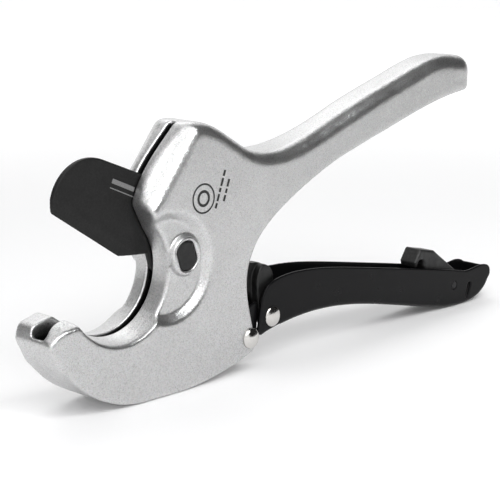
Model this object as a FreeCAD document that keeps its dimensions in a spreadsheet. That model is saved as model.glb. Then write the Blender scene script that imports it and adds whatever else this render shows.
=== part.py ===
"""Ratchet cutter for plastic pipe: die-cast jaw and handle, black blade, sprung channel-steel lever.

X runs along the tool (nose at -X, handles at +X), Y is its thickness and Z is up. The tool stands on
the jaw's flat and on the lever's end. The outlines are drawn with X = 0 at the axis of the largest pipe
in the jaw; every sub-part is then moved by -origin_x, so that the origin is under the middle of the tool.
"""
import FreeCAD, Part
import math
import os
import Sketcher
from FreeCAD import Placement, Rotation, Vector

DIMENSIONS = {
    # jaw, blade pivot and handle, in millimetres
    "origin_x": 90.33,
    "body_width": 23.0, "nose_width": 19.6, "handle_width": 18.0,
    "pipe_diameter": 42.0, "mouth_height": 45.2, "mouth_flare": 2.0,
    "pivot_x": 29.3, "pivot_z": 48.3, "pivot_radius": 5.25, "pivot_flats": 8.2, "pivot_tilt": 18.0,
    "recess_x": 21.0, "recess_radius": 19.8, "recess_depth": 2.5, "recess_taper": 52.0,
    "front_bevel_depth": 5.2, "front_bevel_taper": 31.0,
    "nose_edge_depth": 7.6, "nose_edge_taper": 17.3,
    "nose_space_width": 5.1, "nose_space_shift": 0.8, "nose_opening_floor": 28.5,
    "boss_radius": 7.4, "boss_taper": 17.0,
    "slot_width": 2.7, "spring_space": 6.6, "pocket_width": 12.0, "channel_width": 11.0,
    "running_gap": 0.05,
    # blade
    "blade_thickness": 2.2, "blade_reach": 16.0, "tooth_tip_radius": 22.4, "tooth_height": 2.4,
    "tooth_pitch": 10.0, "tooth_count": 14.0, "hub_radius": 9.0, "bevel_width": 4.5, "bevel_depth": 0.9,
    "eye_radius": 18.0, "eye_angle": 60.0, "eye_hole_radius": 1.4,
    # lever
    "lever_width": 15.0, "tongue_width": 11.4, "sheet": 1.2,
    "lever_x": 59.9, "lever_z": 12.7, "lever_pin_radius": 2.5, "lever_head_radius": 3.9,
    "lever_head_height": 2.0, "link_x": 75.5, "link_z": 17.2, "link_pin_radius": 2.2,
    "link_head_radius": 3.9, "link_head_height": 1.4,
    # pawls
    "pawl_hub": 3.7, "pawl_width": 4.0, "pawl_block_width": 10.0, "tip_gap": 0.45,
    "hold_x": 61.0, "hold_z": 56.5, "hold_pin_radius": 1.5, "hold_tip_angle": 28.0,
    "drive_tip_angle": -14.0,
    # latch
    "latch_width": 8.6, "latch_x": 186.0, "latch_z": 9.5, "latch_pin_radius": 1.5,
    "catch_x": 150.9, "catch_z": 86.6, "catch_radius": 1.5,
    # screw and washer behind the blade pin
    "screw_radius": 2.0, "screw_clearance": 0.1, "screw_length": 7.2, "screw_head_radius": 3.4,
    "screw_head_height": 1.2, "screw_key_radius": 1.3, "screw_key_floor": 0.3,
    "washer_radius": 6.2, "washer_thickness": 0.8, "washer_sink": 0.1,
    # spacers on the pins
    "lever_spacer_radius": 3.3, "link_washer_radius": 3.6, "hold_spacer_radius": 2.4, "side_gap": 0.1,
    "pin_reach": 1.6,
    # springs
    "lever_wire": 1.3, "pawl_wire": 0.8, "drive_wire": 0.5, "blade_wire": 0.9, "latch_wire": 0.7,
    "lever_coil": 4.2, "drive_coil": 2.8, "small_coil": 2.2,
    "anchor_x": 101.0, "anchor_z": 76.5, "anchor_radius": 1.25,
}
SHEET_NAME = "dims"


def make_sheet(doc):
    """The driving dimensions, one row each, with the value's alias in the next column."""
    sheet = doc.addObject("Spreadsheet::Sheet", SHEET_NAME)
    for row, (alias, value) in enumerate(DIMENSIONS.items(), start=1):
        sheet.set(f"A{row}", alias)
        sheet.set(f"B{row}", str(value))
        sheet.setAlias(f"B{row}", alias)
    doc.recompute()
    return sheet


doc = FreeCAD.newDocument("pipe_cutter")
sheet = make_sheet(doc)
SUBPARTS = []


def dim(alias):
    return float(sheet.get(alias))


def bind(obj, prop, expression):
    """Bind a property to sheet cells; each alias is written in braces."""
    obj.setExpression(prop, expression.replace("{", SHEET_NAME + ".").replace("}", ""))


def polar(x, z, radius, degrees):
    angle = math.radians(degrees)
    return (x + radius * math.cos(angle), z + radius * math.sin(angle))


def point(xz):
    return Vector(xz[0], xz[1], 0.0)


# ---- building blocks -------------------------------------------------------------------------------

def make_body(name):
    """A PartDesign body that is moved from the drawing frame to the part's frame."""
    body = doc.addObject("PartDesign::Body", name)
    body.Label = name
    bind(body, "Placement.Base.x", "-{origin_x}")
    SUBPARTS.append(body)
    return body


def make_sketch(body, name, plane="XZ_Plane", offset=None):
    """A sketch on one of the body's own planes; offset is an expression along the plane's normal."""
    sketch = body.newObject("Sketcher::SketchObject", name)
    origin_plane = [f for f in body.Origin.OriginFeatures if f.Role == plane][0]
    sketch.AttachmentSupport = [(origin_plane, "")]
    sketch.MapMode = "FlatFace"
    if offset:
        bind(sketch, "AttachmentOffset.Base.z", offset)
    return sketch


def draw(sketch, start, *pieces):
    """A closed outline from start. A piece is an end point, ("arc", through, end) or ("curve", points)."""
    here = start
    for piece in pieces:
        if piece[0] == "arc":
            edge = Part.Arc(point(here), point(piece[1]), point(piece[2]))
            here = piece[2]
        elif piece[0] == "curve":
            edge = Part.BSplineCurve()
            edge.interpolate([point(p) for p in [here] + list(piece[1])])
            here = piece[1][-1]
        else:
            edge = Part.LineSegment(point(here), point(piece))
            here = piece
        sketch.addGeometry(edge, False)
    if math.dist(here, start) > 1e-6:
        sketch.addGeometry(Part.LineSegment(point(here), point(start)), False)


def draw_circle(sketch, x, z, radius):
    """A circle whose centre and radius are expressions."""
    index = sketch.addGeometry(Part.Circle(Vector(5.0, 5.0, 0.0), Vector(0, 0, 1), 1.0), False)
    for kind, value, refs in (("DistanceX", x, (-1, 1, index, 3)), ("DistanceY", z, (-1, 1, index, 3))):
        number = sketch.addConstraint(Sketcher.Constraint(kind, *refs, 5.0))
        bind(sketch, f"Constraints[{number}]", value)
    number = sketch.addConstraint(Sketcher.Constraint("Radius", index, 1.0))
    bind(sketch, f"Constraints[{number}]", radius)


def extrude(body, sketch, length, kind="Pad", both=True, taper=None, reverse=False):
    """A pad or pocket of the sketch; both puts half of the length on each side of its plane."""
    feature = body.newObject("PartDesign::" + kind, sketch.Name + "_" + kind.lower())
    feature.Profile = sketch
    bind(feature, "Length", length)
    feature.SideType = "Symmetric" if both else "One side"
    feature.Reversed = reverse
    if taper:
        bind(feature, "TaperAngle", taper)
    return feature


def plate(body, name, width, start, *pieces):
    sketch = make_sketch(body, name)
    draw(sketch, start, *pieces)
    return extrude(body, sketch, width)


def cut(body, name, width, start, *pieces):
    sketch = make_sketch(body, name)
    draw(sketch, start, *pieces)
    return extrude(body, sketch, width, "Pocket")


def hole(body, name, x, z, radius, width="4 * {body_width}"):
    sketch = make_sketch(body, name)
    draw_circle(sketch, x, z, radius)
    return extrude(body, sketch, width, "Pocket")


def disc(body, name, x, z, radius, width):
    sketch = make_sketch(body, name)
    draw_circle(sketch, x, z, radius)
    return extrude(body, sketch, width)


def edges_where(feature, test):
    """Names of the edges of which every sampled point passes the test."""
    names = []
    for number, edge in enumerate(feature.Shape.Edges, start=1):
        first, last = edge.ParameterRange
        samples = [edge.valueAt(first + (last - first) * k / 6.0) for k in range(7)]
        if all(test(p) for p in samples):
            names.append(f"Edge{number}")
    return names


def dress(body, name, kind, size, test, size2=None):
    """A fillet or chamfer on the edges that pass the test."""
    doc.recompute()
    base = body.Tip
    names = edges_where(base, test)
    if not names:
        raise RuntimeError(name + " found no edges")
    feature = body.newObject("PartDesign::" + kind, name)
    feature.Base = (base, names)
    if kind == "Fillet":
        bind(feature, "Radius", size)
    else:
        feature.ChamferType = 1 if size2 else 0
        bind(feature, "Size", size)
        if size2:
            bind(feature, "Size2", size2)
    return feature


def free_shape(name, shape):
    """A sub-part whose shape is worked out here from the sheet's sizes."""
    feature = doc.addObject("Part::Feature", name)
    feature.Label = name
    feature.Shape = shape
    feature.Placement = Placement(Vector(-dim("origin_x"), 0.0, 0.0), Rotation())
    SUBPARTS.append(feature)
    return feature


# ---- the die-cast body -----------------------------------------------------------------------------

def body_casting():
    body = make_body("body_casting")
    radius = dim("pipe_diameter") / 2.0
    mouth_z = dim("mouth_height")
    mouth_top = polar(0.0, mouth_z, radius, 32.0)
    mouth_front = polar(0.0, mouth_z, radius, 232.0)
    plate(body, "side_outline", "{body_width}",
          (-30.9, 27.0), (-29.9, 30.2), ("arc", (-28.8, 31.9), (-26.5, 32.7)), (-20.4, 34.0), mouth_front,
          ("arc", (0.0, mouth_z - radius), mouth_top), (12.4, 67.0), ("arc", (12.1, 68.6), (12.9, 70.2)),
          ("curve", [(17.2, 78.0), (24.2, 86.0), (30.6, 92.2)]), ("arc", (32.3, 93.6), (34.5, 94.1)),
          ("curve", [(44.0, 92.2), (54.0, 86.6), (64.0, 81.2), (78.0, 79.6), (100.0, 84.1),
                     (126.0, 93.2), (152.0, 101.2), (174.0, 106.6), (186.0, 105.8)]),
          ("arc", (194.6, 98.8), (187.0, 91.6)),
          ("curve", [(166.0, 88.0), (140.0, 80.9), (113.0, 73.0), (91.0, 64.6), (74.5, 56.6),
                     (63.6, 47.6), (58.9, 37.5), (59.3, 26.0), (62.4, 13.0)]),
          ("arc", (62.6, 9.3), (59.6, 6.6)),
          ("curve", [(50.0, 3.6), (39.0, 1.3), (28.0, 0.0)]), (8.0, 0.0),
          ("curve", [(-3.5, 2.0), (-13.0, 6.3), (-20.3, 11.9)]), (-26.6, 18.4), (-30.9, 27.0))
    side_trim(body)
    front_bevel(body)
    nose_edge(body)
    mouth_draft(body)
    pivot_recess(body)
    internal_spaces(body)
    double_d(body, "pin_hole", "Pocket", 4.0 * dim("body_width"), dim("running_gap"))
    hole(body, "lever_pin_hole", "{lever_x}", "{lever_z}", "{lever_pin_radius}")
    hole(body, "hold_pin_hole", "{hold_x}", "{hold_z}", "{hold_pin_radius}", "{pocket_width} + 5")
    hole(body, "catch_hole", "{catch_x}", "{catch_z}", "{catch_radius}", "{channel_width} + 3.4")
    hole(body, "anchor_hole", "{anchor_x}", "{anchor_z}", "{anchor_radius}", "{channel_width} + 3.4")
    return body


def side_trim(body):
    """Narrow the nose and the handle in plan, and round the handle's end."""
    wide = dim("body_width") / 2.0
    nose = dim("nose_width") / 2.0
    grip = dim("handle_width") / 2.0
    sketch = make_sketch(body, "plan_trim", "XY_Plane")
    for side in (1.0, -1.0):
        draw(sketch, (-40.0, side * nose * 0.94), (-31.5, side * nose * 0.98),
             ("curve", [(-20.0, side * (nose + 0.9)), (-4.0, side * wide)]), (58.0, side * wide),
             ("curve", [(76.0, side * (wide - 0.7)), (96.0, side * (grip + 0.25)), (120.0, side * grip)]),
             (184.0, side * grip), ("arc", (192.4, side * grip * 0.72), (196.0, side * grip * 0.05)),
             (200.0, side * grip * 0.05), (200.0, side * 20.0), (-40.0, side * 20.0))
    pocket = extrude(body, sketch, "400", "Pocket")
    pocket.SideType = "Symmetric"


def front_bevel(body):
    """A broad bevel on each side of the face in front of the blade slot."""
    for side, name in ((1.0, "near"), (-1.0, "far")):
        sign = "" if side > 0 else "-"
        sketch = make_sketch(body, name + "_bevel", offset=sign + "{body_width} / 2")
        draw(sketch, (15.6, 68.2), (33.3, 90.3), (40.0, 98.6), (20.0, 110.0), (-10.0, 60.0), (9.6, 64.6))
        extrude(body, sketch, "{front_bevel_depth}", "Pocket", both=False, taper="-{front_bevel_taper}",
                reverse=side < 0)


def mouth_draft(body):
    """Casting draft: the mouth widens from the middle to both sides."""
    radius = dim("pipe_diameter") / 2.0
    half = dim("body_width") / 2.0
    sketch = body.newObject("Sketcher::SketchObject", "mouth_draft_profile")
    plane = [f for f in body.Origin.OriginFeatures if f.Role == "XY_Plane"][0]
    sketch.AttachmentSupport = [(plane, "")]
    sketch.MapMode = "FlatFace"
    bind(sketch, "AttachmentOffset.Base.z", "{mouth_height}")
    for side in (1.0, -1.0):
        draw(sketch, (radius - 3.0, side * 0.5), (radius, side * 0.5),
             (radius + dim("mouth_flare"), side * half), (radius + dim("mouth_flare"), side * (half + 1.0)),
             (radius - 3.0, side * (half + 1.0)))
    groove = body.newObject("PartDesign::Groove", "mouth_draft")
    groove.Profile = sketch
    groove.ReferenceAxis = (sketch, ["V_Axis"])
    groove.Angle = 360.0


def pivot_recess(body):
    """A round sloping recess on each side, with a raised boss around the blade pin."""
    for side, name in ((1.0, "near"), (-1.0, "far")):
        sign = "" if side > 0 else "-"
        sketch = make_sketch(body, name + "_recess", offset=sign + "{body_width} / 2")
        draw_circle(sketch, "{recess_x}", "{mouth_height}", "{recess_radius}")
        extrude(body, sketch, "{recess_depth}", "Pocket", both=False, taper="-{recess_taper}",
                reverse=side < 0)
        sketch = make_sketch(body, name + "_boss", offset=sign + "({body_width} / 2 - {recess_depth})")
        draw_circle(sketch, "{pivot_x}", "{pivot_z}", "{boss_radius}")
        extrude(body, sketch, "{recess_depth} - 0.1", both=False, taper="-{boss_taper}", reverse=side < 0)


def nose_edge(body):
    """A sloping cut that lowers the nose's near top edge."""
    sketch = make_sketch(body, "nose_edge", offset="{body_width} / 2")
    draw(sketch, (-32.5, 25.0), (-27.0, 29.9), (-24.2, 31.1), (-17.5, 31.9), (-12.0, 32.0),
         (-12.0, 50.0), (-40.0, 50.0), (-40.0, 25.0))
    extrude(body, sketch, "{nose_edge_depth}", "Pocket", both=False, taper="-{nose_edge_taper}")


def nose_opening(body):
    """The nose is open on top and in front, wider than the blade slot and more so toward its tip."""
    sketch = make_sketch(body, "nose_space", offset="{nose_space_shift}")
    draw(sketch, (-28.7, 60.0), (-28.7, 27.0), ("arc", (-27.2, 22.4), (-23.4, 19.4)), (-18.0, 19.4),
         (-16.0, 24.0), (-10.0, 60.0))
    extrude(body, sketch, "{nose_space_width}", "Pocket")
    sketch = make_sketch(body, "nose_mouth", "XY_Plane", offset="{nose_opening_floor}")
    draw(sketch, (-10.0, 1.7), ("curve", [(-17.0, 1.8), (-24.0, 1.9), (-28.6, 1.7)]), (-29.9, 1.1),
         (-30.3, -0.4), (-30.2, -2.6), (-30.4, -4.4), (-29.8, -5.5), (-28.4, -5.5),
         ("curve", [(-25.3, -4.1), (-21.9, -3.3), (-10.0, -2.6)]))
    extrude(body, sketch, "9", "Pocket", both=False, reverse=True)


def internal_spaces(body):
    """The blade slot, the pocket for the pawls and lever tongue, and the handle's hollow underside."""
    px, pz, ring = dim("pivot_x"), dim("pivot_z"), dim("tooth_tip_radius") + 0.9
    cut(body, "blade_slot", "{slot_width}",
        (-27.2, 60.0), (-27.2, 31.0), ("arc", (-24.6, 20.6), (-18.4, 12.2)), (-12.0, 10.6),
        (-3.0, 13.2), (8.0, 18.5), polar(px, pz, ring, 245.0),
        ("arc", polar(px, pz, ring, 310.0), polar(px, pz, ring, 28.0)),
        (32.4, 95.5), (32.4, 110.0), (-40.0, 110.0), (-40.0, 60.0))
    nose_opening(body)
    cut(body, "pawl_pocket", "{pocket_width}",
        (51.5, -5.0), (51.5, 24.0), (46.0, 33.0), (44.5, 48.0), (44.5, 60.0),
        ("arc", (46.2, 64.2), (50.5, 66.0)), (59.0, 66.0), ("arc", (63.4, 64.2), (65.0, 60.0)),
        (63.8, 52.0), (80.0, 52.0), (80.0, -5.0))
    inner, outer = dim("eye_radius") - 3.0, dim("eye_radius") + 3.0
    cut(body, "spring_space", "{spring_space}",
        polar(px, pz, inner, 14.0), ("arc", polar(px, pz, inner, 70.0), polar(px, pz, inner, 126.0)),
        polar(px, pz, outer, 126.0), ("arc", polar(px, pz, outer, 100.0), polar(px, pz, outer, 72.0)),
        (78.0, 74.0), (78.0, 66.5), polar(px, pz, outer, 14.0))
    cut(body, "handle_hollow", "{channel_width}",
        (70.0, 45.0), (70.0, 74.2),
        ("curve", [(80.0, 76.3), (100.0, 80.4), (126.0, 87.8), (152.0, 95.2), (172.0, 99.8)]),
        ("arc", (181.0, 98.0), (183.0, 90.0)), (183.0, 80.0))


def double_d(body, name, kind, width, gap):
    """A round section with two flats, as the blade pin and its holes have."""
    radius = dim("pivot_radius") + gap
    half = dim("pivot_flats") / 2.0 + gap
    spread = math.degrees(math.acos(half / radius))
    px, pz, tilt = dim("pivot_x"), dim("pivot_z"), dim("pivot_tilt")
    corners = [polar(px, pz, radius, tilt + a) for a in (spread, 180.0 - spread, 180.0 + spread, -spread)]
    sketch = make_sketch(body, name)
    draw(sketch, corners[0], ("arc", polar(px, pz, radius, tilt + 90.0), corners[1]), corners[2],
         ("arc", polar(px, pz, radius, tilt - 90.0), corners[3]))
    return extrude(body, sketch, str(width), kind)


# ---- blade and its pin -----------------------------------------------------------------------------

def blade():
    """The blade: straight edge, round nose, and ratchet teeth behind the pivot."""
    body = make_body("blade")
    px, pz = dim("pivot_x"), dim("pivot_z")
    tip_radius, height, pitch = dim("tooth_tip_radius"), dim("tooth_height"), dim("tooth_pitch")
    reach = dim("blade_reach")
    nose_x, nose_z = -5.6, 69.6
    back_angle = 67.1
    first = -86.0
    teeth = []
    for number in range(int(dim("tooth_count"))):
        angle = first + pitch * number
        teeth.append(polar(px, pz, tip_radius, angle))
        teeth.append(polar(px, pz, tip_radius - height, angle + pitch - 0.8))
    teeth_end = first + pitch * dim("tooth_count")
    inner = polar(px, pz, dim("hub_radius"), 262.0)
    outline = [("arc", polar(px, pz, dim("hub_radius"), 232.0), inner),
               polar(px, pz, tip_radius - height, first - 1.0)]
    outline += teeth
    outline += [polar(px, pz, tip_radius, teeth_end),
                ("arc", polar(px, pz, tip_radius, (teeth_end + back_angle) / 2.0),
                 polar(px, pz, tip_radius, back_angle)),
                polar(nose_x, nose_z, reach, back_angle),
                ("arc", polar(nose_x, nose_z, reach, 125.0), polar(nose_x, nose_z, reach, 178.0)),
                (-21.4, 68.9), (7.0, 50.0), (19.8, 49.1)]
    plate(body, "blade_outline", "{blade_thickness}", polar(px, pz, dim("hub_radius"), 203.0), *outline)
    hole(body, "blade_bore", "{pivot_x}", "{pivot_z}", "{pivot_radius} + {running_gap}")
    eye = polar(px, pz, dim("eye_radius"), dim("eye_angle"))
    hole(body, "spring_eye", str(eye[0]), str(eye[1]), "{eye_hole_radius}")

    def cutting_edge(p):
        return p.x < 7.1 and p.z < 69.0 and abs(p.y) > 0.5 and p.z < 70.0 - 0.6 * (p.x + 21.4)
    dress(body, "edge_bevel", "Chamfer", "{bevel_width}", cutting_edge, "{bevel_depth}")
    return body


def blade_pin():
    """A shouldered pin: round where the blade turns, two flats where the casting holds it."""
    body = make_body("blade_pin")
    double_d(body, "flatted_pin", "Pad", dim("body_width") - 1.6, 0.0)
    disc(body, "round_middle", "{pivot_x}", "{pivot_z}", "{pivot_radius}", "{slot_width} - 0.1")
    dress(body, "pin_edge", "Chamfer", "0.4", lambda p: abs(p.y) > dim("body_width") / 2.0 - 0.9)
    sketch = make_sketch(body, "screw_bore", offset="-({body_width} / 2 - 0.8)")
    draw_circle(sketch, "{pivot_x}", "{pivot_z}", "{screw_radius}")
    extrude(body, sketch, "7.5", "Pocket", both=False, reverse=True)
    return body


# ---- lever -----------------------------------------------------------------------------------------

LEVER_TOP = [(77.0, 30.8), (90.0, 32.1), (119.0, 28.6), (150.0, 22.9), (176.0, 18.0), (191.0, 15.0)]
LEVER_BOTTOM = [(189.0, 0.04), (171.0, 2.6), (150.0, 7.2), (128.0, 11.8), (107.0, 14.3), (88.0, 13.8)]


def lever():
    """The lower handle: a sheet-steel channel, open upward, that narrows to a tongue at the pivot."""
    body = make_body("lever")
    sheet_size = dim("sheet")
    lx, lz = dim("lever_x"), dim("lever_z")
    plate(body, "channel_outline", "{lever_width}",
          (67.6, 12.0), (69.6, 22.6), ("curve", [(71.0, 26.6), (73.3, 29.4)]), ("curve", LEVER_TOP),
          ("curve", [(197.0, 14.4), (204.0, 15.2), (209.0, 14.6)]), ("arc", (211.1, 12.9), (211.3, 10.2)),
          ("curve", [(208.6, 5.2), (203.0, 1.7), (196.5, 0.3)] + LEVER_BOTTOM + [(70.5, 10.6)]))

    def bottom_edge(p):
        return abs(p.y) > 7.0 and p.z < lever_middle(p.x) + 4.0 and 70.0 < p.x < 211.6
    dress(body, "channel_bend", "Fillet", "1.8", bottom_edge)
    inner_bottom = [(x, z + sheet_size) for x, z in LEVER_BOTTOM[1:]]
    cut(body, "channel_inside", "{lever_width} - 2 * {sheet}",
        (60.0, 40.0), (60.0, 12.6), (70.5, 10.6 + sheet_size), ("curve", list(reversed(inner_bottom))
                                                               + [(189.0, sheet_size), (196.0, 1.6)]),
        ("curve", [(202.4, 2.9), (207.2, 6.0), (209.6, 10.4)]), (209.9, 40.0))
    plate(body, "tongue_outline", "{tongue_width}",
          polar(lx, lz, 6.0, 250.0), ("arc", polar(lx, lz, 6.0, 180.0), polar(lx, lz, 6.0, 112.0)),
          (64.0, 22.3), (72.5, 25.0), (74.5, 12.8), (70.4, 10.8))
    cut(body, "tongue_inside", "{tongue_width} - 2 * {sheet}",
        (50.0, 40.0), (50.0, 0.0), (66.0, 0.0), (66.0, 10.9), (70.5, 12.0), (76.0, 13.6), (76.0, 40.0))
    cut(body, "joggle_inside", "{lever_width} - 2 * {sheet}",
        (69.2, 40.0), (69.2, 11.6), (80.0, 13.2), (80.0, 40.0))
    hole(body, "lever_bore", "{lever_x}", "{lever_z}", "{lever_pin_radius} + {running_gap}")
    hole(body, "link_bore", "{link_x}", "{link_z}", "{link_pin_radius}")
    hole(body, "latch_bore", "{latch_x}", "{latch_z}", "{latch_pin_radius}")
    cut(body, "strap_slot", "4 * {body_width}",
        (194.2, 3.9), ("arc", (195.1, 2.9), (196.1, 3.7)), (197.6, 7.6),
        ("arc", (197.0, 8.9), (195.7, 8.2)))
    return body


def lever_middle(x):
    """Height of the lever's middle line, which parts its upper edges from its lower ones."""
    return 22.0 - (x - 75.0) * 0.11


def rivet(name, x, z, pin_radius, head_radius, head_height, grip):
    """A headed pin with two domed heads, one solid turned about its own axis."""
    half = grip / 2.0
    rim = 0.35
    solid = Part.makeCylinder(pin_radius, grip + 0.2, Vector(x, -half - 0.1, z), Vector(0, 1, 0))
    dome = head_height - rim
    sphere_radius = (head_radius ** 2 + dome ** 2) / (2.0 * dome)
    for side in (-1.0, 1.0):
        collar = Part.makeCylinder(head_radius, rim, Vector(x, side * half, z), Vector(0, side, 0))
        ball = Part.makeSphere(sphere_radius, Vector(x, side * (half + rim + dome - sphere_radius), z))
        block = Part.makeCylinder(head_radius, dome + 1.0, Vector(x, side * (half + rim), z),
                                  Vector(0, side, 0))
        solid = solid.fuse(collar).fuse(ball.common(block))
    return free_shape(name, solid.removeSplitter())


def tube(name, x, z, outer, inner, low, high):
    """A plain round spacer from y = low to y = high."""
    outside = Part.makeCylinder(outer, high - low, Vector(x, low, z), Vector(0, 1, 0))
    inside = Part.makeCylinder(inner, high - low, Vector(x, low, z), Vector(0, 1, 0))
    return free_shape(name, outside.cut(inside))


# ---- pawls, latch and pins -------------------------------------------------------------------------

def drive_pawl():
    """The pawl on the lever: a block between the channel walls, and an arm up to the blade's teeth."""
    body = make_body("drive_pawl")
    px, pz = dim("pivot_x"), dim("pivot_z")
    reach = dim("tooth_tip_radius") + dim("tip_gap")
    tip = polar(px, pz, reach, dim("drive_tip_angle"))
    lx, lz, hub = dim("link_x"), dim("link_z"), dim("pawl_hub")
    plate(body, "arm_outline", "{pawl_width}",
          tip, (tip[0] + 0.6, tip[1] - 2.4), (62.0, 32.6), (69.4, 25.5), polar(lx, lz, hub, 180.0),
          ("arc", polar(lx, lz, hub, 270.0), polar(lx, lz, hub, 0.0)), (78.6, 30.0),
          ("arc", (76.6, 35.6), (71.5, 37.4)), (63.0, 39.2))
    plate(body, "block_outline", "{pawl_block_width}",
          polar(lx, lz, hub, 168.0), ("arc", polar(lx, lz, hub, 270.0), polar(lx, lz, hub, 0.0)),
          (78.6, 30.0), ("arc", (77.0, 35.2), (73.5, 37.0)),
          ("curve", [(70.8, 34.5), (69.9, 28.0), (70.6, 21.5)]))
    hole(body, "pawl_bore", "{link_x}", "{link_z}", "{link_pin_radius} + {running_gap}")
    return body


def hold_pawl():
    """The pawl on the casting, which stops the blade from springing open between strokes."""
    body = make_body("hold_pawl")
    hx, hz = dim("hold_x"), dim("hold_z")
    reach = dim("tooth_tip_radius") + dim("tip_gap")
    tip = polar(dim("pivot_x"), dim("pivot_z"), reach, dim("hold_tip_angle"))
    plate(body, "hold_outline", "{pawl_width}",
          tip, (tip[0] + 0.9, tip[1] - 2.0), (55.6, 54.6), polar(hx, hz, 3.3, 235.0),
          ("arc", polar(hx, hz, 3.3, 0.0), polar(hx, hz, 3.3, 95.0)), (54.0, 61.6))
    hole(body, "hold_bore", "{hold_x}", "{hold_z}", "{hold_pin_radius} + {running_gap}")
    return body


def latch():
    """The hook that holds the two handles together when the tool is put away."""
    body = make_body("latch")
    plate(body, "latch_outline", "{latch_width}",
          (163.6, 22.2), (167.2, 27.4), (171.4, 26.4), (176.4, 25.4), (178.8, 23.6), (190.6, 15.2),
          ("arc", (190.4, 8.0), (185.4, 5.2)), ("arc", (181.6, 8.0), (180.4, 12.4)), (175.0, 15.8),
          (170.4, 17.6), (169.4, 20.4), ("arc", (167.5, 22.6), (165.6, 20.4)), (164.4, 19.6))
    hole(body, "latch_pivot", "{latch_x}", "{latch_z}", "{latch_pin_radius} + {running_gap}")
    dress(body, "latch_edges", "Chamfer", "0.7",
          lambda p: abs(p.y) > dim("latch_width") / 2.0 - 0.1 and p.z > 18.5)
    return body


def plain_pin(name, x, z, radius, length):
    """A straight pin across the tool."""
    body = make_body(name)
    disc(body, name + "_section", x, z, radius, length)
    return body


# ---- springs ---------------------------------------------------------------------------------------

def swept_wire(points_and_coil, wire):
    """Round wire of the given diameter along a path of edges that run smoothly into each other."""
    path = Part.Wire(points_and_coil)
    start = path.OrderedEdges[0]
    at = start.valueAt(start.FirstParameter)
    along = start.tangentAt(start.FirstParameter)
    ring = Part.Wire([Part.makeCircle(wire / 2.0, at, along)])
    return path.makePipeShell([ring], True, True)


def coil_edge(x, z, radius, pitch, turns, start_angle, y_start):
    """A helix about the Y direction, as an edge that starts at start_angle."""
    helix = Part.makeHelix(pitch, pitch * turns, radius).Edges
    shape = Part.Wire(helix)
    turn = Rotation(Vector(1, 0, 0), -90.0)
    spin = Rotation(Vector(0, 0, 1), start_angle)
    shape.Placement = Placement(Vector(x, y_start, z), turn.multiply(spin))
    return shape.Edges


def torsion_spring(name, x, z, radius, wire, turns, y_start, start_angle, leg_in, leg_out):
    """A coil about Y with a straight leg at each end, along the coil's own direction there."""
    pitch = wire * 1.12
    coil = coil_edge(x, z, radius, pitch, turns, start_angle, y_start)
    first, last = coil[0], coil[-1]
    begin = first.valueAt(first.FirstParameter)
    end = last.valueAt(last.LastParameter)
    lead = first.tangentAt(first.FirstParameter)
    trail = last.tangentAt(last.LastParameter)
    first_leg = Part.makeLine(begin - lead * leg_in, begin)
    last_leg = Part.makeLine(end, end + trail * leg_out)
    return free_shape(name, swept_wire([first_leg] + coil + [last_leg], wire))


def blade_spring():
    """The extension spring that pulls the blade open: a coil with a long hook at each end."""
    wire = dim("blade_wire")
    eye = polar(dim("pivot_x"), dim("pivot_z"), dim("eye_radius"), dim("eye_angle"))
    start = Vector(eye[0], 0.0, eye[1])
    end = Vector(dim("anchor_x"), 0.0, dim("anchor_z"))
    along = (end - start).normalize()
    blade_ring, anchor_ring, coil_radius, turns, shank = 2.4, 2.0, 2.4, 18, 38.0
    coil_length = 1.25 * wire * turns
    tilt = Rotation(Vector(0, 0, 1), along)
    coil_start = start + along * shank
    coil_end = coil_start + along * coil_length
    helix = Part.Wire(Part.makeHelix(coil_length / turns, coil_length, coil_radius).Edges)
    helix.Placement = Placement(coil_start, tilt)
    whole = swept_wire(helix.Edges, wire)
    outward = tilt.multVec(Vector(1, 0, 0))
    weld = wire / 2.0 + 0.03
    for at in (coil_end, coil_start):
        whole = whole.fuse(Part.makeSphere(weld, at + outward * coil_radius))
    for at in (coil_end, coil_start):
        whole = whole.fuse(Part.makeSphere(wire / 2.0, at))
        whole = whole.fuse(Part.makeCylinder(wire / 2.0, coil_radius, at, outward))
    across = along.cross(Vector(0, 1, 0))
    whole = whole.fuse(Part.makeTorus(anchor_ring, wire / 2.0, end, Vector(0, 1, 0)))
    whole = whole.fuse(Part.makeTorus(blade_ring, wire / 2.0, start + along * blade_ring, across))
    runs = ((coil_end, end - along * anchor_ring), (start + along * (2.0 * blade_ring), coil_start))
    for low, high in runs:
        whole = whole.fuse(Part.makeCylinder(wire / 2.0, (high - low).Length, low, along))
    return free_shape("blade_spring", whole)


def button_screw():
    """The screw and washer that hold the blade pin from the far side."""
    face = dim("body_width") / 2.0 - dim("washer_sink")
    x, z, shank = dim("pivot_x"), dim("pivot_z"), dim("screw_radius")
    outward = Vector(0, 1, 0)
    thick = dim("washer_thickness")
    washer = Part.makeCylinder(dim("washer_radius"), thick, Vector(x, face, z), outward)
    clear = dim("screw_radius") + dim("screw_clearance")
    washer = washer.cut(Part.makeCylinder(clear, thick, Vector(x, face, z), outward))
    free_shape("pin_washer", washer)
    top = face + thick
    length = dim("screw_length")
    bolt = Part.makeCylinder(shank, length, Vector(x, top - length, z), outward)
    height, radius = dim("screw_head_height"), dim("screw_head_radius")
    ball_radius = (radius ** 2 + height ** 2) / (2.0 * height)
    ball = Part.makeSphere(ball_radius, Vector(x, top + height - ball_radius, z))
    head = ball.common(Part.makeCylinder(radius, height, Vector(x, top, z), outward))
    floor = top + dim("screw_key_floor")
    corners = [polar(x, z, dim("screw_key_radius"), 60.0 * k) for k in range(7)]
    key = Part.Face(Part.makePolygon([Vector(a, floor, b) for a, b in corners]))
    head = head.cut(key.extrude(outward * height))
    free_shape("pin_screw", bolt.fuse(head))


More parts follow.
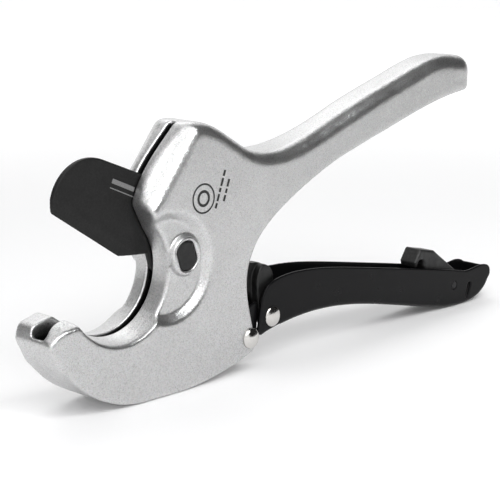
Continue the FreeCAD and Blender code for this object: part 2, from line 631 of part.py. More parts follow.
# ---- assembly --------------------------------------------------------------------------------------

def spacers():
    """The tubes and the washer that keep the moving pieces in the middle of their pins."""
    gap = dim("side_gap")
    inside = dim("tongue_width") / 2.0 - dim("sheet") - gap
    tube("lever_spacer", dim("lever_x"), dim("lever_z"), dim("lever_spacer_radius"),
         dim("lever_pin_radius"), -inside, inside)
    wall = dim("lever_width") / 2.0 - dim("sheet") - gap / 2.0
    block = dim("pawl_block_width") / 2.0 + gap
    tube("link_washer", dim("link_x"), dim("link_z"), dim("link_washer_radius"),
         dim("link_pin_radius"), -wall, -block)
    pocket = dim("pocket_width") / 2.0 - gap
    pawl_side = dim("pawl_width") / 2.0 + gap
    tube("hold_spacer", dim("hold_x"), dim("hold_z"), dim("hold_spacer_radius"),
         dim("hold_pin_radius"), -pocket, -pawl_side)


def springs():
    """Five springs: four wound about pins, with a leg at each end, and the blade's long one."""
    torsion_spring("lever_spring", dim("lever_x"), dim("lever_z"), dim("lever_coil"), dim("lever_wire"),
                   turns=4.23, y_start=-3.3, start_angle=68.0, leg_in=3.6, leg_out=8.0)
    torsion_spring("drive_spring", dim("link_x"), dim("link_z"), dim("drive_coil"), dim("drive_wire"),
                   turns=1.0, y_start=5.35, start_angle=20.0, leg_in=5.0, leg_out=4.0)
    torsion_spring("hold_spring", dim("hold_x"), dim("hold_z"), dim("small_coil"), dim("pawl_wire"),
                   turns=2.75, y_start=2.75, start_angle=200.0, leg_in=5.0, leg_out=4.0)
    torsion_spring("latch_spring", dim("latch_x"), dim("latch_z"), dim("small_coil"), dim("latch_wire"),
                   turns=1.2, y_start=4.85, start_angle=100.0, leg_in=2.5, leg_out=3.5)
    blade_spring()


def pins():
    """Plain pins pressed through their holes, and the screw behind the blade pin."""
    both_ends = " + 2 * {pin_reach}"
    plain_pin("hold_pin", "{hold_x}", "{hold_z}", "{hold_pin_radius}", "{pocket_width} + 3 * {pin_reach}")
    plain_pin("catch_pin", "{catch_x}", "{catch_z}", "{catch_radius}", "{channel_width}" + both_ends)
    plain_pin("spring_anchor", "{anchor_x}", "{anchor_z}", "{anchor_radius}", "{channel_width}" + both_ends)
    plain_pin("latch_pin", "{latch_x}", "{latch_z}", "{latch_pin_radius}", "{lever_width}")
    button_screw()


def build_all():
    body_casting()
    blade()
    blade_pin()
    lever()
    drive_pawl()
    hold_pawl()
    latch()
    rivet("lever_rivet", dim("lever_x"), dim("lever_z"), dim("lever_pin_radius") - dim("running_gap"),
          dim("lever_head_radius"), dim("lever_head_height"), dim("body_width"))
    rivet("link_rivet", dim("link_x"), dim("link_z"), dim("link_pin_radius"), dim("link_head_radius"),
          dim("link_head_height"), dim("lever_width"))
    spacers()
    springs()
    pins()


def check_all():
    """Stop if any object failed or any sub-part's shape is missing or not valid."""
    doc.recompute()
    for obj in doc.Objects:
        if "Invalid" in obj.State or "Error" in obj.State:
            raise RuntimeError(obj.Name + " failed: " + str(obj.State))
    for part in SUBPARTS:
        if part.Shape.isNull() or not part.Shape.isValid():
            raise RuntimeError(part.Label + " has no valid shape")


def write_all():
    os.makedirs("parts", exist_ok=True)
    for part in SUBPARTS:
        part.Shape.exportStep(f"parts/{part.Label}.step")
        box = part.Shape.BoundBox
        print(f"{part.Label:16s} solids {len(part.Shape.Solids)} volume {part.Shape.Volume:9.1f}"
              f" x {box.XMin:7.1f} {box.XMax:7.1f} y {box.YMin:6.2f} {box.YMax:6.2f}"
              f" z {box.ZMin:6.2f} {box.ZMax:6.2f}")


build_all()
check_all()
write_all()
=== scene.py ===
"""Looks of the ratchet pipe cutter: rounded casting and pressings, their paint, steel and print.

Lengths are in metres in the part's frame; the surface work is done in millimetres and scaled at the end.
"""
import math

import bmesh
import bpy
import numpy as np
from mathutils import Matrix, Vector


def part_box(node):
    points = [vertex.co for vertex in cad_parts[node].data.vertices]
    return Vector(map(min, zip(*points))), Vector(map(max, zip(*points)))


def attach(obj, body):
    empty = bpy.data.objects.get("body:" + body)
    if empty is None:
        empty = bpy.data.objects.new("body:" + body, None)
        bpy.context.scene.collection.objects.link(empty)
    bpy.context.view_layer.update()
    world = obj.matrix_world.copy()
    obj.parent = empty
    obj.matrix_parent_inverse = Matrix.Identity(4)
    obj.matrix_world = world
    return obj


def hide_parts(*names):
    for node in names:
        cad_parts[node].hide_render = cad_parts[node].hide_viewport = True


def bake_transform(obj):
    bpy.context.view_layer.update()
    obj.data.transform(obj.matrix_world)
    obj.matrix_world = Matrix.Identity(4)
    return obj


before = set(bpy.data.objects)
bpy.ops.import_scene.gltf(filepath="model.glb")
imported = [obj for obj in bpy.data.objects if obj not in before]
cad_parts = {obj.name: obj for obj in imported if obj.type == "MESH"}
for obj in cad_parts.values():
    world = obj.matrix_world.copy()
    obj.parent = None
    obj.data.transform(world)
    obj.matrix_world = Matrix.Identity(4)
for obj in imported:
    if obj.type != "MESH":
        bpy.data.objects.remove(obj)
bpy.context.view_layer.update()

import openvdb as vdb
from mathutils import Matrix, Vector

MM = 0.001
MOUTH_X = -0.09033          # axis of the largest pipe in the jaw


def along(x, y, z):
    """A point given in millimetres from the pipe's axis (x), the middle plane (y) and the floor (z)."""
    return Vector((MOUTH_X + x * MM, y * MM, z * MM))


# ---- surfaces as distance fields -------------------------------------------------------------------

def surface_of(node):
    """A CAD node's points in millimetres and its triangles."""
    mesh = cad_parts[node].data
    mesh.calc_loop_triangles()
    points = np.empty(len(mesh.vertices) * 3, np.float32)
    mesh.vertices.foreach_get("co", points)
    corners = np.empty(len(mesh.loop_triangles) * 3, np.int32)
    mesh.loop_triangles.foreach_get("vertices", corners)
    return (points.reshape(-1, 3) / MM).astype(np.float32), corners.reshape(-1, 3).astype(np.uint32), None


def level_set(surface, voxel, reach):
    """Signed distance to the surface, in a band of the given reach."""
    points, triangles, quads = surface
    return vdb.FloatGrid.createLevelSetFromPolygons(
        points, triangles=triangles, quads=quads,
        transform=vdb.createLinearTransform(voxelSize=voxel), halfWidth=reach / voxel + 3.0)


def shifted(surface, voxel, amount):
    """The surface moved outwards by amount, or inwards where amount is negative."""
    return level_set(surface, voxel, abs(amount)).convertToPolygons(amount, 0.0)


def settled(surface, passes):
    """The surface with each point moved halfway to the mean of its neighbours, that many times."""
    points, triangles, quads = surface
    pairs = [face[:, [k, (k + 1) % face.shape[1]]]
             for face in (triangles, quads) for k in range(face.shape[1])]
    start, end = np.concatenate(pairs).T
    start, end = np.concatenate((start, end)), np.concatenate((end, start))
    count = np.maximum(np.bincount(start, minlength=len(points)), 1)
    for _ in range(passes):
        mean = [np.bincount(start, points[end, k], len(points)) / count for k in range(3)]
        points = (0.5 * (points + np.stack(mean, 1))).astype(np.float32)
    return points, triangles, quads


def opened(surface, voxel, radius, passes=0):
    """Convex edges rounded to the radius; flat faces stay where they are."""
    inner = settled(shifted(surface, voxel, -radius), passes)
    return shifted(inner, voxel, radius)


def closed(surface, voxel, radius):
    """Inside corners filled to the radius."""
    return shifted(shifted(surface, voxel, radius), voxel, -radius)


def smoothstep(low, high, value):
    t = np.clip((value - low) / (high - low), 0.0, 1.0)
    return t * t * (3.0 - 2.0 * t)


class Block:
    """A box of samples around the casting, on which fields are mixed."""

    def __init__(self, low, high, voxel, reach):
        self.voxel = voxel
        self.reach = reach
        self.first = np.floor(np.array(low) / voxel).astype(int) - 4
        last = np.ceil(np.array(high) / voxel).astype(int) + 4
        self.shape = tuple(last - self.first + 1)
        self.x, self.y, self.z = (
            ((self.first[k] + np.arange(self.shape[k])) * voxel).astype(np.float32).reshape(
                [-1 if j == k else 1 for j in range(3)]) for k in range(3))

    def sample(self, surface):
        values = np.empty(self.shape, np.float32)
        grid = level_set(surface, self.voxel, self.reach)
        grid.copyToArray(values, ijk=tuple(int(v) for v in self.first))
        return values

    def surface(self, values, passes=0):
        """The zero surface of the values, after that many passes of blurring over one sample each way."""
        for axis in [0, 1, 2] * passes:
            inner = [slice(None)] * 3
            inner[axis] = slice(1, -1)
            ahead = np.take(values, range(2, values.shape[axis]), axis)
            behind = np.take(values, range(0, values.shape[axis] - 2), axis)
            values[tuple(inner)] = 0.5 * values[tuple(inner)] + 0.25 * (ahead + behind)
        grid = vdb.FloatGrid(self.reach)
        grid.copyFromArray(values, ijk=tuple(int(v) for v in self.first))
        grid.transform = vdb.createLinearTransform(voxelSize=self.voxel)
        return grid.convertToPolygons(0.0, 0.0)


RELAX_PASSES = 2


def mesh_piece(name, surface, body, material, slot, *nodes):
    """A piece made from a surface in millimetres; it rides on the body and stands for the nodes."""
    points, triangles, quads = surface
    mesh = bpy.data.meshes.new(name)
    mesh.from_pydata((points * MM).tolist(), [], quads.tolist() + triangles.tolist())
    work = bmesh.new()
    work.from_mesh(mesh)
    for _ in range(RELAX_PASSES):
        bmesh.ops.smooth_vert(work, verts=work.verts, factor=0.5,
                              use_axis_x=True, use_axis_y=True, use_axis_z=True)
    if work.calc_volume(signed=True) < 0.0:
        bmesh.ops.reverse_faces(work, faces=work.faces)
    work.to_mesh(mesh)
    work.free()
    mesh.polygons.foreach_set("use_smooth", [True] * len(mesh.polygons))
    return add_piece(name, mesh, body, material, slot, *nodes)


def add_piece(name, mesh, body, material, slot, *nodes):
    piece = bpy.data.objects.new(name, mesh)
    bpy.context.scene.collection.objects.link(piece)
    mesh.materials.append(material)
    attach(piece, body)
    if nodes:
        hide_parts(*nodes)
    return piece


# ---- materials -------------------------------------------------------------------------------------

class Shader:
    """A node material under construction: short names for the nodes that the finishes share."""

    def __init__(self, name):
        self.material = bpy.data.materials.new(name)
        self.material.use_nodes = True
        self.tree = self.material.node_tree
        self.surface = self.tree.nodes["Principled BSDF"]
        self.place = self.node("ShaderNodeTexCoord").outputs["Object"]

    def node(self, kind, **settings):
        made = self.tree.nodes.new(kind)
        for key, value in settings.items():
            setattr(made, key, value)
        return made

    def link(self, source, target):
        self.tree.links.new(source, target)

    def set(self, **values):
        for key, value in values.items():
            socket = self.surface.inputs[key.replace("_", " ")]
            if isinstance(value, bpy.types.NodeSocket):
                self.link(value, socket)
            else:
                socket.default_value = value

    def noise(self, scale, detail, stretch=None):
        made = self.node("ShaderNodeTexNoise")
        made.inputs["Scale"].default_value = scale
        made.inputs["Detail"].default_value = detail
        made.inputs["Roughness"].default_value = 0.55
        place = self.place
        if stretch:
            mapping = self.node("ShaderNodeMapping")
            mapping.inputs["Scale"].default_value = stretch
            self.link(place, mapping.inputs["Vector"])
            place = mapping.outputs["Vector"]
        self.link(place, made.inputs["Vector"])
        return made.outputs["Fac"]

    def ramp(self, factor, *stops):
        """Colour by factor; a stop is (position, grey) or (position, (r, g, b))."""
        made = self.node("ShaderNodeValToRGB")
        elements = made.color_ramp.elements
        while len(elements) < len(stops):
            elements.new(0.5)
        for element, (position, colour) in zip(elements, stops):
            rgb = colour if isinstance(colour, tuple) else (colour,) * 3
            element.position = position
            element.color = (*rgb, 1.0)
        self.link(factor, made.inputs["Fac"])
        return made.outputs["Color"]

    def mix(self, factor, first, second):
        made = self.node("ShaderNodeMix", data_type="RGBA")
        for socket, value in ((made.inputs[0], factor), (made.inputs[6], first), (made.inputs[7], second)):
            if isinstance(value, bpy.types.NodeSocket):
                self.link(value, socket)
            elif isinstance(value, tuple):
                socket.default_value = (*value, 1.0)
            else:
                socket.default_value = value
        return made.outputs[2]

    def edges(self, low, high):
        """From 0 on flat faces to 1 on sharp convex edges."""
        point = self.node("ShaderNodeNewGeometry").outputs["Pointiness"]
        made = self.node("ShaderNodeMapRange", clamp=True)
        made.inputs["From Min"].default_value = low
        made.inputs["From Max"].default_value = high
        self.link(point, made.inputs["Value"])
        return made.outputs["Result"]

    def openness(self, reach, low, high):
        """From 0 deep in a slot or hollow to 1 on open faces, by ambient occlusion; used to paint shade
        into hollows.
        """
        around = self.node("ShaderNodeAmbientOcclusion", samples=8, only_local=True)
        around.inputs["Distance"].default_value = reach
        made = self.node("ShaderNodeMapRange", clamp=True)
        made.inputs["From Min"].default_value = low
        made.inputs["From Max"].default_value = high
        self.link(around.outputs["AO"], made.inputs["Value"])
        return made.outputs["Result"]

    def bump(self, height, distance, strength=1.0, normal=None):
        made = self.node("ShaderNodeBump")
        made.inputs["Distance"].default_value = distance
        made.inputs["Strength"].default_value = strength
        self.link(height, made.inputs["Height"])
        if normal:
            self.link(normal, made.inputs["Normal"])
        return made.outputs["Normal"]

    def flakes(self, scale, tilt):
        """A normal that tips at random from one small flake to the next, and a colour for each flake."""
        cells = self.node("ShaderNodeTexVoronoi")
        cells.inputs["Scale"].default_value = scale
        self.link(self.place, cells.inputs["Vector"])
        centred = self.node("ShaderNodeVectorMath", operation="SUBTRACT")
        centred.inputs[1].default_value = (0.5, 0.5, 0.5)
        self.link(cells.outputs["Color"], centred.inputs[0])
        scaled = self.node("ShaderNodeVectorMath", operation="SCALE")
        scaled.inputs["Scale"].default_value = tilt
        self.link(centred.outputs["Vector"], scaled.inputs[0])
        summed = self.node("ShaderNodeVectorMath", operation="ADD")
        self.link(scaled.outputs["Vector"], summed.inputs[0])
        self.link(self.node("ShaderNodeNewGeometry").outputs["Normal"], summed.inputs[1])
        unit = self.node("ShaderNodeVectorMath", operation="NORMALIZE")
        self.link(summed.outputs["Vector"], unit.inputs[0])
        return unit.outputs["Vector"], cells.outputs["Color"]


def silver_paint():
    """Metallic paint over a die casting: fine flakes and a soft orange peel."""
    s = Shader("silver_paint")
    flakes, cells = s.flakes(scale=3800.0, tilt=0.19)
    cloud = s.ramp(s.noise(60.0, 4.0), (0.3, (0.44, 0.445, 0.455)), (0.7, (0.505, 0.505, 0.51)))
    tint = s.mix(0.36, cloud, cells)
    grey = s.node("ShaderNodeHueSaturation")
    grey.inputs["Saturation"].default_value = 0.12
    s.link(tint, grey.inputs["Color"])
    peel = s.bump(s.noise(1100.0, 2.0), 0.00002, 0.4, flakes)
    # Painted shade: ambient occlusion darkens the paint's colour to near black deep in slots and hollows.
    unshaded_share = s.openness(reach=0.012, low=0.32, high=0.68)
    colour = s.mix(unshaded_share, (0.012, 0.012, 0.012), grey.outputs["Color"])
    s.set(Base_Color=colour, Metallic=0.93, Normal=peel,
          Roughness=s.ramp(s.noise(180.0, 5.0), (0.3, 0.28), (0.7, 0.36)))
    return s.material


def black_paint():
    """Satin black paint on pressed sheet: faint peel, edges rubbed a little lighter."""
    s = Shader("black_paint")
    wear = s.mix(s.edges(0.54, 0.60), (0.004, 0.004, 0.0045), (0.02, 0.02, 0.021))
    s.set(Base_Color=wear, Metallic=0.0, Normal=s.bump(s.noise(700.0, 3.0), 0.00003, 0.4),
          Roughness=s.ramp(s.noise(120.0, 5.0), (0.3, 0.26), (0.7, 0.36)), Specular_IOR_Level=0.13)
    return s.material


def blade_coating():
    """Dull black coating on the blade, finely speckled; its convex edges are painted light grey, as bright
    ground steel on the cutting edge and as a painted highlight on the other rims.
    """
    s = Shader("blade_coating")
    speck = s.ramp(s.noise(1600.0, 2.0), (0.35, 0.005), (0.75, 0.012))
    # Convex edges lighter: ground steel on the cutting edge, painted highlight on the other rims.
    steel = s.mix(s.edges(0.56, 0.66), speck, (0.30, 0.30, 0.31))
    s.set(Base_Color=steel, Metallic=0.0, Specular_IOR_Level=0.25,
          Normal=s.bump(s.noise(1400.0, 2.0), 0.00003, 0.5),
          Roughness=s.ramp(s.noise(200.0, 4.0), (0.3, 0.42), (0.7, 0.55)))
    return s.material


def black_oxide():
    """Blackened steel, dull and slightly pitted."""
    s = Shader("black_oxide")
    s.set(Base_Color=s.ramp(s.noise(500.0, 4.0), (0.3, 0.008), (0.75, 0.022)), Metallic=0.4,
          Roughness=s.ramp(s.noise(250.0, 4.0), (0.3, 0.36), (0.7, 0.5)),
          Normal=s.bump(s.noise(900.0, 4.0), 0.00004, 0.6))
    return s.material


def dark_casting():
    """Dark grey sintered steel of the latch, grainy, with rubbed corners."""
    s = Shader("dark_casting")
    grain = s.ramp(s.noise(800.0, 4.0), (0.3, 0.014), (0.75, 0.034))
    s.set(Base_Color=s.mix(s.edges(0.53, 0.60), grain, (0.10, 0.10, 0.105)), Metallic=0.3,
          Roughness=s.ramp(s.noise(220.0, 4.0), (0.3, 0.40), (0.7, 0.54)),
          Normal=s.bump(s.noise(650.0, 4.0), 0.00009, 0.7))
    return s.material


def bright_steel():
    """Nickel-plated rivets: bright, with faint handling marks."""
    s = Shader("bright_steel")
    s.set(Base_Color=s.ramp(s.noise(150.0, 4.0), (0.3, (0.58, 0.56, 0.54)), (0.7, (0.70, 0.69, 0.67))),
          Metallic=1.0, Roughness=s.ramp(s.noise(420.0, 5.0), (0.35, 0.10), (0.75, 0.22)),
          Normal=s.bump(s.noise(500.0, 3.0), 0.00003, 0.35))
    return s.material


def zinc_steel():
    """Plated washers and spacers, satin with a fine turned grain."""
    s = Shader("zinc_steel")
    s.set(Base_Color=s.ramp(s.noise(200.0, 4.0), (0.3, (0.48, 0.49, 0.50)), (0.7, (0.62, 0.62, 0.61))),
          Metallic=1.0, Roughness=s.ramp(s.noise(700.0, 4.0), (0.3, 0.26), (0.7, 0.42)),
          Normal=s.bump(s.noise(900.0, 3.0, stretch=(1.0, 12.0, 1.0)), 0.00003, 0.5))
    return s.material


def spring_steel():
    """Oiled spring wire with lengthwise drawing marks."""
    s = Shader("spring_steel")
    s.set(Base_Color=s.ramp(s.noise(300.0, 4.0), (0.3, (0.30, 0.29, 0.28)), (0.7, (0.46, 0.45, 0.44))),
          Metallic=1.0, Roughness=s.ramp(s.noise(600.0, 4.0), (0.3, 0.24), (0.7, 0.40)),
          Normal=s.bump(s.noise(1200.0, 2.0, stretch=(6.0, 1.0, 1.0)), 0.00002, 0.5))
    return s.material


def ink(name, tone):
    """Printed or laser-etched mark, slightly uneven."""
    s = Shader(name)
    s.set(Base_Color=s.ramp(s.noise(2500.0, 2.0), (0.3, tone * 0.8), (0.75, tone * 1.25)), Metallic=0.0,
          Roughness=s.ramp(s.noise(900.0, 2.0), (0.3, 0.5), (0.7, 0.65)))
    return s.material


SILVER = silver_paint()
BLACK = black_paint()
BLADE = blade_coating()
OXIDE = black_oxide()
DARK = dark_casting()
BRIGHT = bright_steel()
ZINC = zinc_steel()
WIRE = spring_steel()


# ---- casting ---------------------------------------------------------------------------------------

# Lengths are in millimetres. The handle's middle line and the heights above which the parting line
# fades are points (x, z).
FINE_VOXEL, QUICK_VOXEL = 0.35, 0.6
FIELD_REACH = 6.0
CORNER_FILL, EDGE_ROUND, BEVEL_ROUND, HANDLE_ROUND = 0.6, 0.6, 3.5, 5.5
WIDE_PASSES = 8
HANDLE_MIDDLE = ((30.0, 74.5), (62.0, 68.5), (91.0, 73.4), (113.0, 81.0), (140.0, 89.0), (166.0, 96.5),
                 (187.0, 97.0))
PARTING_CEILING = ((-31.0, 30.0), (-28.5, 23.0), (-20.0, 14.0), (0.0, 7.0), (60.0, 7.0))


def height_at(x, line):
    """Height of a line of (x, z) points at each x."""
    return np.interp(x, *zip(*line)).astype(np.float32)


def handle_share(x, z):
    """How far the wide rounding of the handle applies, from 0 on the jaw to 1 on the handle's top."""
    return smoothstep(28.0, 40.0, x) * smoothstep(-2.5, 4.0, z - height_at(x, HANDLE_MIDDLE))


def filleted(solid, radius):
    """The form with a round of the radius between its side faces and its outline."""
    to_outline = solid.min(axis=1, keepdims=True) + radius
    to_side = solid.min(axis=2, keepdims=True) + radius
    round_ = np.hypot(np.maximum(to_outline, 0.0), np.maximum(to_side, 0.0))
    return np.maximum(round_, 1e-3) + np.minimum(np.maximum(to_outline, to_side), 0.0) - radius


def bevel_share(x, z):
    """How far the middling rounding of the bevels beside the blade slot applies."""
    return smoothstep(65.0, 71.0, z) * (1.0 - smoothstep(36.0, 46.0, x))


def parting_groove(x, y, z):
    """Depth of the faint line where the mould's halves met, round the front and under the jaw."""
    depth, half_width, middle = 0.22, 0.4, 1.5
    below = 1.0 - smoothstep(0.0, 2.0, z - height_at(x, PARTING_CEILING))
    return depth * np.exp(-((y - middle) / half_width) ** 2) * below


def casting():
    """The frame: its outer form rounded as a casting, then hollowed as the CAD part is."""
    voxel = FINE_VOXEL
    low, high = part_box("body_casting")
    block = Block(low / MM, high / MM, voxel, FIELD_REACH)
    cad = block.sample(surface_of("body_casting"))
    outer = np.maximum(np.minimum.accumulate(cad, axis=1),
                       np.minimum.accumulate(cad[:, ::-1], axis=1)[:, ::-1])
    solid = closed(block.surface(outer), voxel, CORNER_FILL)
    crisp = block.sample(opened(solid, voxel, EDGE_ROUND, passes=1))
    x = block.x - MOUTH_X / MM
    bevels = block.sample(opened(solid, voxel, BEVEL_ROUND, WIDE_PASSES))
    handle_end = block.sample(opened(solid, voxel, HANDLE_ROUND, WIDE_PASSES))
    tip = smoothstep(168.0, 182.0, x)
    handle = filleted(block.sample(solid), HANDLE_ROUND) * (1.0 - tip) + handle_end * tip
    shape = crisp
    for wide, share in ((bevels, bevel_share(x, block.z)), (handle, handle_share(x, block.z))):
        shape = shape * (1.0 - share) + wide * share
    shape = np.maximum(shape, cad)
    shape += parting_groove(x, block.y, block.z)
    surface = block.surface(shape, passes=2)
    return mesh_piece("casting_shell", surface, "frame", SILVER, "silver_paint", "body_casting")


# ---- pressed, forged and turned pieces -------------------------------------------------------------

def softened(node, body, material, slot, voxel, radius):
    """A CAD node's own shape with its edges broken to the radius."""
    surface = opened(surface_of(node), voxel, radius)
    return mesh_piece(node + "_finished", surface, body, material, slot, node)


def rivet_piece(node, body, height, shank):
    """A rivet turned from its head's height and its shank's radius; the CAD node's box gives the rest."""
    low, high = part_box(node)
    centre = (low + high) / 2.0
    half, radius = (high.y - low.y) / 2.0, (high.x - low.x) / 2.0
    steps = 14
    dome = [(radius * math.sin(0.5 * math.pi * k / steps),
             half - height * (1.0 - math.cos(0.5 * math.pi * k / steps)) ** 0.9) for k in range(steps + 1)]
    profile = dome + [(radius * 0.985, half - height), (shank, half - height)]
    ring = profile + [(r, -y) for r, y in reversed(profile)]
    return lathe(node + "_finished", ring, centre, body, BRIGHT, "bright_steel", node)


def lathe(name, profile, centre, body, material, slot, *nodes):
    """A closed turned piece about the Y direction; profile is (radius, y) from one pole to the other."""
    around = 64
    work = bmesh.new()
    rings = []
    for radius, y in profile:
        if radius < 1e-6:
            rings.append([work.verts.new((centre.x, centre.y + y, centre.z))])
            continue
        rings.append([work.verts.new((centre.x + radius * math.cos(2 * math.pi * k / around), centre.y + y,
                                      centre.z + radius * math.sin(2 * math.pi * k / around)))
                      for k in range(around)])
    for near, far in zip(rings, rings[1:]):
        for k in range(around):
            n = (k + 1) % around
            quad = [near[k % len(near)], near[n % len(near)], far[n % len(far)], far[k % len(far)]]
            corners = list(dict.fromkeys(quad))
            if len(corners) > 2:
                work.faces.new(corners)
    bmesh.ops.recalc_face_normals(work, faces=work.faces)
    mesh = bpy.data.meshes.new(name)
    work.to_mesh(mesh)
    work.free()
    mesh.polygons.foreach_set("use_smooth", [True] * len(mesh.polygons))
    return add_piece(name, mesh, body, material, slot, *nodes)


def keep_node(node, material):
    """A CAD node that stays as it is and only gets its finish."""
    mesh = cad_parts[node].data
    mesh.materials.clear()
    mesh.materials.append(material)


def spring(node):
    """A spring across a joint, copied from its CAD node with the wire finish and put in place of the node.
    """
    piece = bpy.data.objects.new(node + "_wire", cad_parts[node].data.copy())
    bpy.context.scene.collection.objects.link(piece)
    piece.data.materials.clear()
    piece.data.materials.append(WIRE)
    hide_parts(node)
    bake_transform(piece)


def all_pieces():
    casting()
    softened("blade", "blade", BLADE, "blade_steel", 0.22, 0.25)
    softened("blade_pin", "frame", OXIDE, "black_oxide", 0.16, 0.3)
    softened("lever", "lever", BLACK, "black_paint", 0.22, 0.42)
    softened("drive_pawl", "drive_pawl", OXIDE, "pawl_steel", 0.2, 0.4)
    softened("hold_pawl", "hold_pawl", OXIDE, "pawl_steel", 0.15, 0.25)
    softened("latch", "latch", DARK, "latch_steel", 0.2, 0.45)
    rivet_piece("lever_rivet", "frame", 2.0 * MM, 2.45 * MM)
    rivet_piece("link_rivet", "lever", 1.4 * MM, 2.2 * MM)
    softened("pin_washer", "frame", ZINC, "zinc_steel", 0.12, 0.2)
    softened("pin_screw", "frame", OXIDE, "black_oxide", 0.12, 0.15)
    for node in ("hold_pin", "catch_pin", "spring_anchor"):
        keep_node(node, BRIGHT)
    keep_node("latch_pin", BLACK)
    for node in ("lever_spacer", "link_washer", "hold_spacer"):
        keep_node(node, ZINC)
    for node in ("hold_spring", "latch_spring"):
        keep_node(node, WIRE)
    spring("blade_spring")
    spring("lever_spring")
    spring("drive_spring")


# ---- marks -----------------------------------------------------------------------------------------

def plates(name, shapes, face, thick, body, material, slot):
    """Thin raised plates on a face at the given y. A shape is a list of rings of (x, z): outline, holes."""
    work = bmesh.new()
    for rings in shapes:
        outline = rings[0]
        inside = rings[1] if len(rings) > 1 else None
        front = [[work.verts.new(along(x, face - side, z)) for x, z in ring]
                 for side in (0.0, thick) for ring in rings]
        if inside is None:
            base, top = front
            work.faces.new(base)
            work.faces.new(list(reversed(top)))
            walls = [(base, top)]
        else:
            base, base_hole, top, top_hole = front
            count = len(outline)
            for k in range(count):
                n = (k + 1) % count
                work.faces.new([base[k], base[n], base_hole[n], base_hole[k]])
                work.faces.new([top[k], top_hole[k], top_hole[n], top[n]])
            walls = [(base, top), (top_hole, base_hole)]
        for low, high in walls:
            for k in range(len(low)):
                n = (k + 1) % len(low)
                work.faces.new([low[k], high[k], high[n], low[n]])
    bmesh.ops.recalc_face_normals(work, faces=work.faces)
    mesh = bpy.data.meshes.new(name)
    work.to_mesh(mesh)
    work.free()
    return add_piece(name, mesh, body, material, slot)


def ring(x, z, radius, count=48):
    return [(x + radius * math.cos(2 * math.pi * k / count), z + radius * math.sin(2 * math.pi * k / count))
            for k in range(count)]


def bar(x, z, length, height, degrees):
    """A bar centred on (x, z) whose length runs at the angle."""
    c, s = math.cos(math.radians(degrees)), math.sin(math.radians(degrees))
    corners = ((-length, -height), (length, -height), (length, height), (-length, height))
    return [(x + (a * c - b * s) / 2.0, z + (a * s + b * c) / 2.0) for a, b in corners]


def side_mark():
    """A plain pipe-end symbol, two rings and a row of short bars, printed on the near side."""
    centre = (36.6, 67.6)
    shapes = [[ring(*centre, 5.4), ring(*centre, 4.75)], [ring(*centre, 3.0), ring(*centre, 2.0)]]
    tilt, half_gap = 70.0, 0.35
    lean = math.radians(tilt)
    rows = (((42.2, 63.0), (1.9, 2.6, 1.5, 2.9, 2.2)), ((46.2, 65.0), (2.3, 1.6, 2.8)))
    for (x, z), lengths in rows:
        for length in lengths:
            step = length / 2.0 + half_gap
            x += math.cos(lean) * step
            z += math.sin(lean) * step
            shapes.append([bar(x, z, length, 1.0, tilt)])
            x += math.cos(lean) * step
            z += math.sin(lean) * step
    return plates("side_print", shapes, face=-11.49, thick=0.05, body="frame",
                  material=ink("black_ink", 0.012), slot="black_paint")


def blade_mark():
    """A pair of plain etched stripes on the blade's near side."""
    shapes = [[bar(9.0, 74.6, 10.5, 1.6, -24.0)], [bar(8.4, 72.2, 11.5, 0.35, -24.0)]]
    return plates("blade_etching", shapes, face=-1.09, thick=0.04, body="blade",
                  material=ink("etched_steel", 0.16), slot="blade_steel")


# ---- stage, light and camera -----------------------------------------------------------------------

def floor():
    mesh = bpy.data.meshes.new("floor")
    work = bmesh.new()
    bmesh.ops.create_grid(work, x_segments=8, y_segments=8, size=6.0)
    work.to_mesh(mesh)
    work.free()
    plane = bpy.data.objects.new("floor", mesh)
    bpy.context.scene.collection.objects.link(plane)
    s = Shader("floor_white")
    # Painted light: the floor glows, faintly near the object and more strongly away from it.
    away = s.node("ShaderNodeVectorMath", operation="LENGTH")
    s.link(s.place, away.inputs[0])
    painted_floor_glow = s.node("ShaderNodeMapRange", interpolation_type="SMOOTHSTEP")
    for key, value in (("From Min", 0.25), ("From Max", 0.9), ("To Min", 0.05), ("To Max", 0.38)):
        painted_floor_glow.inputs[key].default_value = value
    s.link(away.outputs["Value"], painted_floor_glow.inputs["Value"])
    s.set(Base_Color=(0.93, 0.93, 0.935, 1.0), Roughness=0.55, Specular_IOR_Level=0.25,
          Emission_Color=(1.0, 1.0, 1.0, 1.0), Emission_Strength=painted_floor_glow.outputs["Result"])
    mesh.materials.append(s.material)


def soft_light(name, place, aim, size, power):
    lamp = bpy.data.lights.new(name, "AREA")
    lamp.shape = "RECTANGLE"
    lamp.size, lamp.size_y = size
    lamp.energy = power
    holder = bpy.data.objects.new(name, lamp)
    holder.location = place
    holder.rotation_euler = (Vector(aim) - Vector(place)).to_track_quat("-Z", "Y").to_euler()
    bpy.context.scene.collection.objects.link(holder)


# A dark flag: direction from the object, cosines where it begins and is full, light that is left.
FLAGS = (((0.62, -0.50, 0.60), 0.52, 0.72, 0.02), ((-0.60, 0.70, 0.38), 0.78, 0.92, 0.2))
ROOM_STRENGTH = 1.10


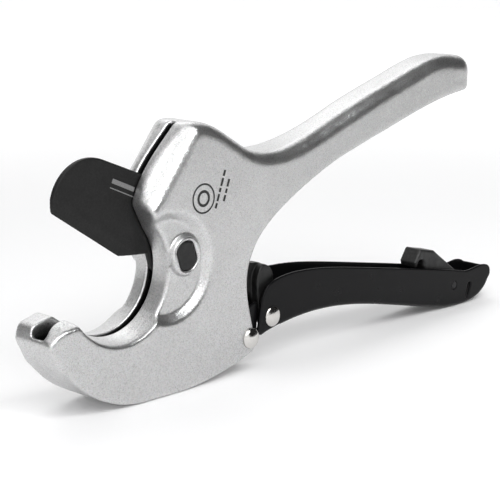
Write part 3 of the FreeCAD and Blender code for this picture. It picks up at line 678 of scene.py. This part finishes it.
def studio():
    """A white room that the camera sees, and one with two dark flags that lights the object."""
    world = bpy.data.worlds.new("studio")
    bpy.context.scene.world = world
    world.use_nodes = True
    tree = world.node_tree
    tree.nodes.clear()

    def node(kind, **settings):
        made = tree.nodes.new(kind)
        for key, value in settings.items():
            setattr(made, key, value)
        return made

    direction = node("ShaderNodeTexCoord").outputs["Generated"]
    unit = node("ShaderNodeVectorMath", operation="NORMALIZE")
    tree.links.new(direction, unit.inputs[0])
    strength = None
    for aim, edge, core, level in FLAGS:
        flag = node("ShaderNodeVectorMath", operation="DOT_PRODUCT")
        flag.inputs[1].default_value = Vector(aim).normalized()
        tree.links.new(unit.outputs["Vector"], flag.inputs[0])
        dim = node("ShaderNodeMapRange", interpolation_type="SMOOTHSTEP")
        dim.inputs["From Min"].default_value = edge
        dim.inputs["From Max"].default_value = core
        dim.inputs["To Min"].default_value = 1.0
        dim.inputs["To Max"].default_value = level
        tree.links.new(flag.outputs["Value"], dim.inputs["Value"])
        product = node("ShaderNodeMath", operation="MULTIPLY")
        product.inputs[0].default_value = ROOM_STRENGTH
        if strength:
            tree.links.new(strength, product.inputs[0])
        tree.links.new(dim.outputs["Result"], product.inputs[1])
        strength = product.outputs[0]
    lit = node("ShaderNodeBackground")
    tree.links.new(strength, lit.inputs["Strength"])
    seen = node("ShaderNodeBackground")
    seen.inputs["Strength"].default_value = 1.0
    for background in (lit, seen):
        background.inputs["Color"].default_value = (1.0, 1.0, 1.0, 1.0)
    path = node("ShaderNodeLightPath")
    choice = node("ShaderNodeMixShader")
    tree.links.new(path.outputs["Is Camera Ray"], choice.inputs[0])
    tree.links.new(lit.outputs[0], choice.inputs[1])
    tree.links.new(seen.outputs[0], choice.inputs[2])
    tree.links.new(choice.outputs[0], node("ShaderNodeOutputWorld").inputs["Surface"])
    soft_light("key_box", (-0.40, -0.62, 0.87), (0.0, 0.0, 0.05), (1.0, 0.9), 4.4)
    soft_light("low_box", (-0.06, -0.36, 0.46), (-0.05, -0.08, 0.0), (0.3, 0.3), 1.2)
    soft_light("back_box", (0.50, 0.55, 0.85), (0.0, 0.0, 0.05), (0.9, 0.5), 1.5)
    bpy.context.scene.view_settings.view_transform = "Standard"


def camera():
    """Seen from the jaw's side, a little above: turned 45.45 degrees and raised 12.76."""
    lens = bpy.data.cameras.new("camera")
    lens.sensor_width = 36.0
    lens.lens = 115.2
    lens.clip_start = 0.01
    holder = bpy.data.objects.new("camera", lens)
    turn, rise = math.radians(45.45), math.radians(12.76)
    back = Vector((-math.sin(turn) * math.cos(rise), -math.cos(turn) * math.cos(rise), math.sin(rise)))
    right = Vector((math.cos(turn), -math.sin(turn), 0.0))
    up = back.cross(right)
    eye = (-0.4303, -0.4047, 0.1726)
    holder.matrix_world = Matrix.Translation(eye) @ Matrix((right, up, back)).transposed().to_4x4()
    bpy.context.scene.collection.objects.link(holder)
    bpy.context.scene.camera = holder


all_pieces()
side_mark()
blade_mark()
floor()
studio()
camera()
